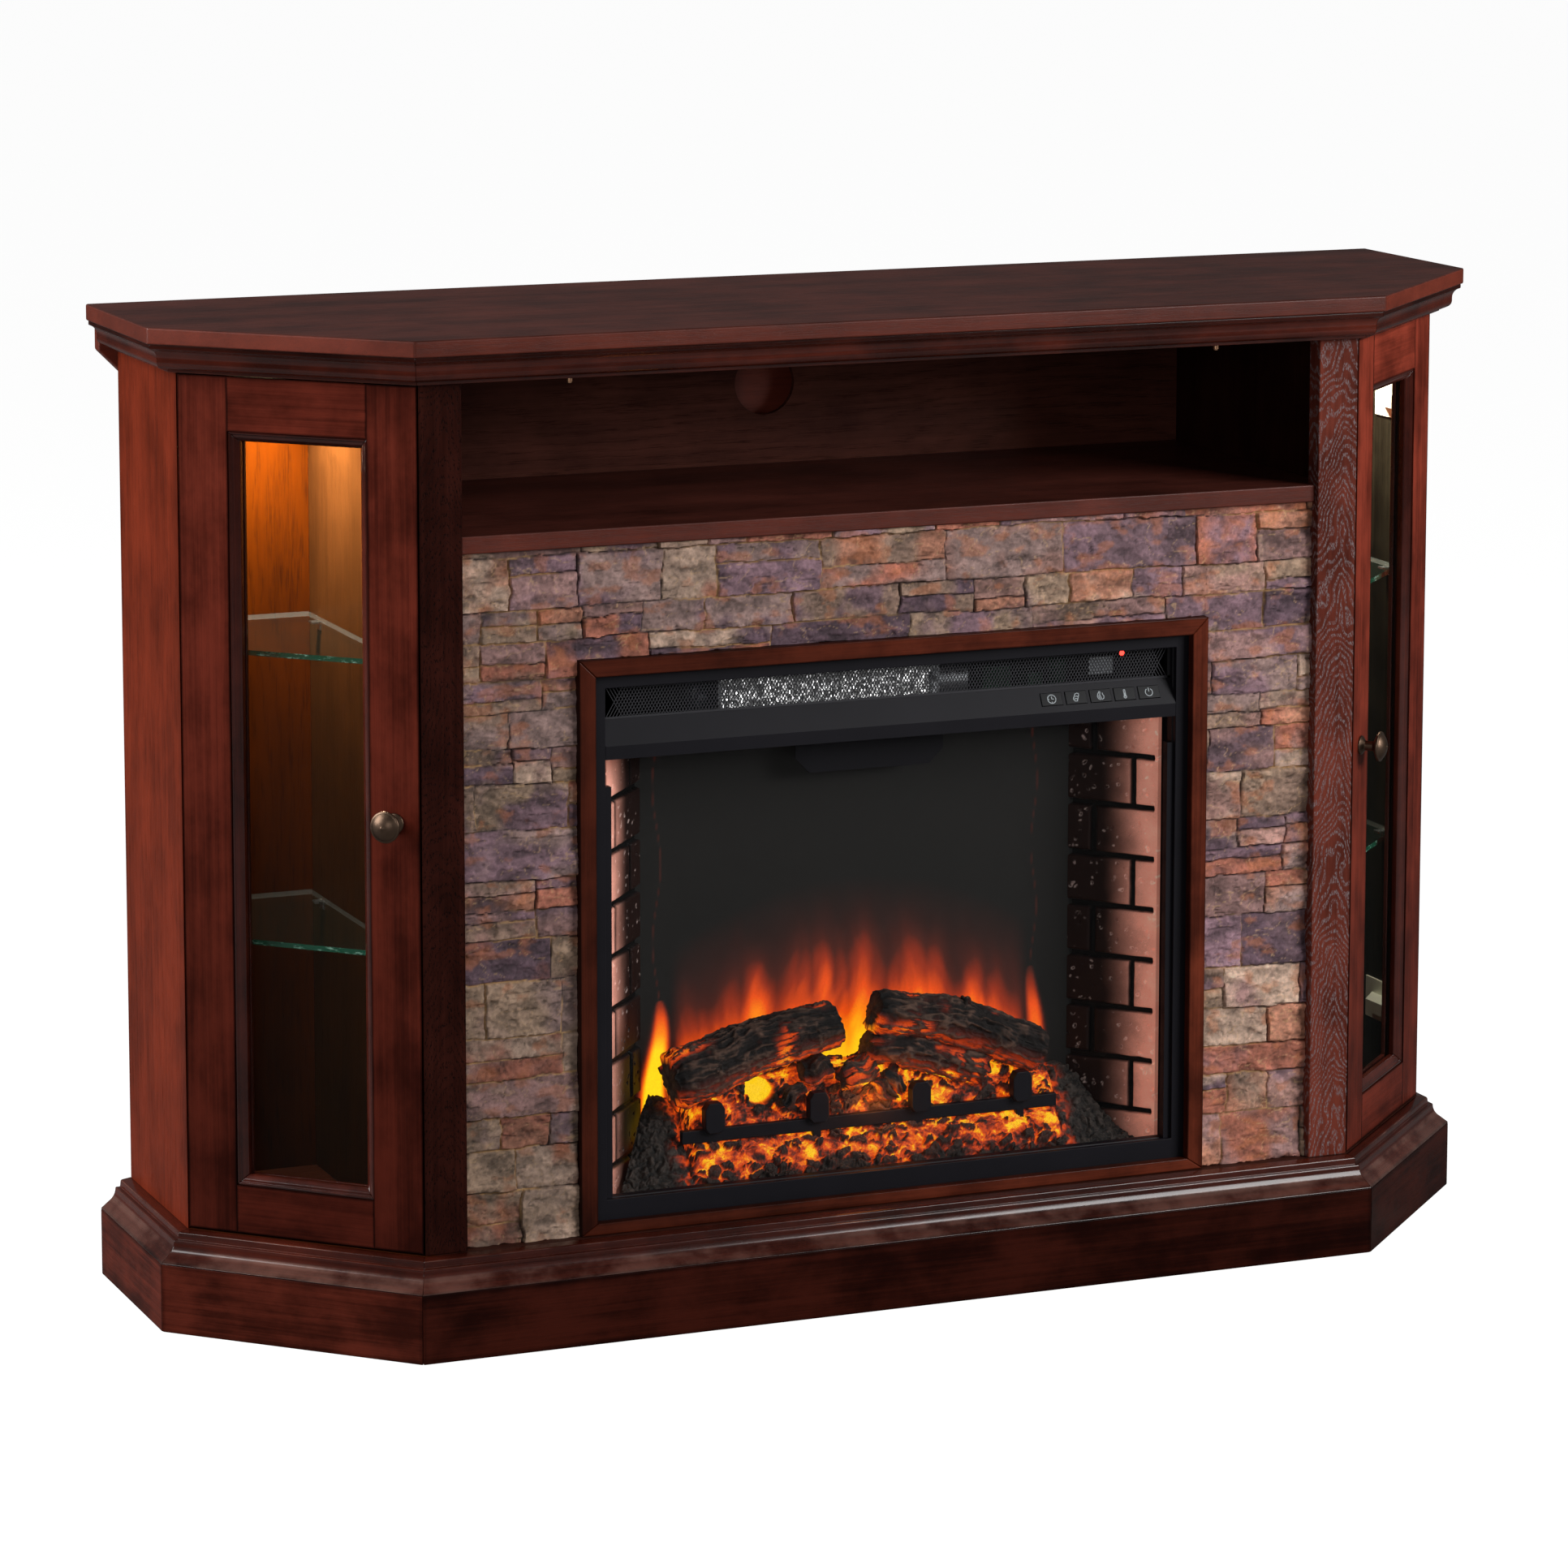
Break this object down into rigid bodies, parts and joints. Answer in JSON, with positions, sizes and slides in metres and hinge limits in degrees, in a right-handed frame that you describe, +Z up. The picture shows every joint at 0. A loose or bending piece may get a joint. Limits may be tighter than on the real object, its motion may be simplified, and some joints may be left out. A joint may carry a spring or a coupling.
{
  "type": "corner fireplace",
  "caption": "Corner electric fireplace console with a media bay, glazed curio cabinets, stone surround and a folding corner leaf.",
  "frame": {"origin": "on the floor, under the middle of the whole object at rest", "axes": "+Z up, +X to the right as seen from the front, -Y out of the front, +Y towards the wall"},
  "size_m": [1.3, 0.3962, 0.9],
  "materials": {
    "top_wood": "satin",
    "frame_wood": "satin",
    "plain_wood": "matte",
    "back_wood": "satin",
    "stone": "matte",
    "clear_glass": "gloss",
    "zinc": "satin",
    "brass_screw": "gloss",
    "lamp_ring": "satin",
    "lamp_lens": "matte",
    "plastic_light": "matte",
    "knob_metal": "satin",
    "black_steel": "satin",
    "grey_steel": "satin",
    "ribbon": "gloss",
    "board": "matte",
    "red_light": "gloss",
    "key_plastic": "satin",
    "smoke_screen": "satin",
    "firebrick": "matte",
    "resin_log": "matte",
    "ember": "matte",
    "ash": "matte",
    "foil": "gloss"
  },
  "bodies": {
    "cabinet": {"top_panel": "top_wood", "crown_moulding": "top_wood", "top_rails": "frame_wood", "base_cap_moulding": "frame_wood", "plinth_boards": "frame_wood", "base_rails": "plain_wood", "bottom_panel": "frame_wood", "side_panels": "frame_wood", "partitions": "frame_wood", "pilasters": "frame_wood", "back_panel": "back_wood", "media_shelf": "top_wood", "bay_screws": "brass_screw", "stone_panels": "stone", "firebox_trim": "frame_wood", "glass_shelves": "clear_glass", "shelf_pins": "zinc", "puck_lights": "lamp_ring", "puck_lenses": "lamp_lens", "door_catches": "plastic_light", "hinge_arms": "zinc", "leaf_hinges": "zinc", "insert_casing": "black_steel", "insert_frame": "black_steel", "visor": "black_steel", "vent_grille": "black_steel", "heater_box": "grey_steel", "heater_element": "ribbon", "small_motors": "grey_steel", "circuit_boards": "board", "indicator_lights": "red_light", "front_glass": "clear_glass", "flame_screen": "smoke_screen", "brick_panels": "firebrick", "log_set": "resin_log", "grate": "black_steel", "ember_bed": "ember", "ash_bed": "ash", "cord_gland": "key_plastic"},
    "left_door": {"left_door_frame": "frame_wood", "left_door_bead": "frame_wood", "left_door_glass": "clear_glass", "left_door_knob": "knob_metal", "left_hinge_cups": "zinc"},
    "right_door": {"right_door_frame": "frame_wood", "right_door_bead": "frame_wood", "right_door_glass": "clear_glass", "right_door_knob": "knob_metal", "right_hinge_cups": "zinc"},
    "leaf": {"corner_leaf": "top_wood", "leaf_hinge_flaps": "zinc"},
    "wall_links": {"stay_wall_links": "zinc"},
    "leaf_links": {"stay_leaf_links": "zinc"},
    "blower": {"blower_wheel": "grey_steel"},
    "rotor": {"flame_rotor": "foil"},
    "timer_button": {"timer_key": "key_plastic"},
    "ember_button": {"ember_key": "key_plastic"},
    "flame_button": {"flame_key": "key_plastic"},
    "heat_button": {"heat_key": "key_plastic"},
    "power_button": {"power_key": "key_plastic"}
  },
  "joints": [
    {"name": "left_door_hinge", "type": "hinge", "parent": "cabinet", "child": "left_door", "pos_m": [-0.621, -0.00386, 0.474], "axis": [0, 0, -1], "range_deg": [0, 95]},
    {"name": "right_door_hinge", "type": "hinge", "parent": "cabinet", "child": "right_door", "pos_m": [0.621, -0.00386, 0.474], "axis": [0, 0, 1], "range_deg": [0, 95]},
    {"name": "leaf_fold", "type": "hinge", "parent": "cabinet", "child": "leaf", "pos_m": [0, 0.17965, 0.8815], "axis": [1, 0, 0], "range_deg": [0, 90]},
    {"name": "wall_link_turn", "type": "hinge", "parent": "cabinet", "child": "wall_links", "pos_m": [0, 0.17385, 0.7315], "axis": [1, 0, 0], "range_deg": [0, 132.84]},
    {"name": "leaf_link_turn", "type": "hinge", "parent": "leaf", "child": "leaf_links", "pos_m": [0, 0.17385, 0.7315], "axis": [1, 0, 0], "range_deg": [-137.26, 0]},
    {"name": "blower_spin", "type": "hinge", "parent": "cabinet", "child": "blower", "pos_m": [0, -0.08615, 0.553], "axis": [1, 0, 0], "continuous": true},
    {"name": "flame_rotor_spin", "type": "hinge", "parent": "cabinet", "child": "rotor", "pos_m": [0, -0.03515, 0.16], "axis": [1, 0, 0], "continuous": true},
    {"name": "timer_key_press", "type": "slide", "parent": "cabinet", "child": "timer_button", "axis": [0, 0.8779, -0.4789], "range_m": [0, 0.0012], "stiffness_N_per_m": 200},
    {"name": "ember_key_press", "type": "slide", "parent": "cabinet", "child": "ember_button", "axis": [0, 0.8779, -0.4789], "range_m": [0, 0.0012], "stiffness_N_per_m": 200},
    {"name": "flame_key_press", "type": "slide", "parent": "cabinet", "child": "flame_button", "axis": [0, 0.8779, -0.4789], "range_m": [0, 0.0012], "stiffness_N_per_m": 200},
    {"name": "heat_key_press", "type": "slide", "parent": "cabinet", "child": "heat_button", "axis": [0, 0.8779, -0.4789], "range_m": [0, 0.0012], "stiffness_N_per_m": 200},
    {"name": "power_key_press", "type": "slide", "parent": "cabinet", "child": "power_button", "axis": [0, 0.8779, -0.4789], "range_m": [0, 0.0012], "stiffness_N_per_m": 200}
  ],
  "couplings": [
    {"joint": "wall_link_turn", "follows": "leaf_fold", "ratio": 1.4754},
    {"joint": "leaf_link_turn", "follows": "leaf_fold", "ratio": -1.5246}
  ]
}
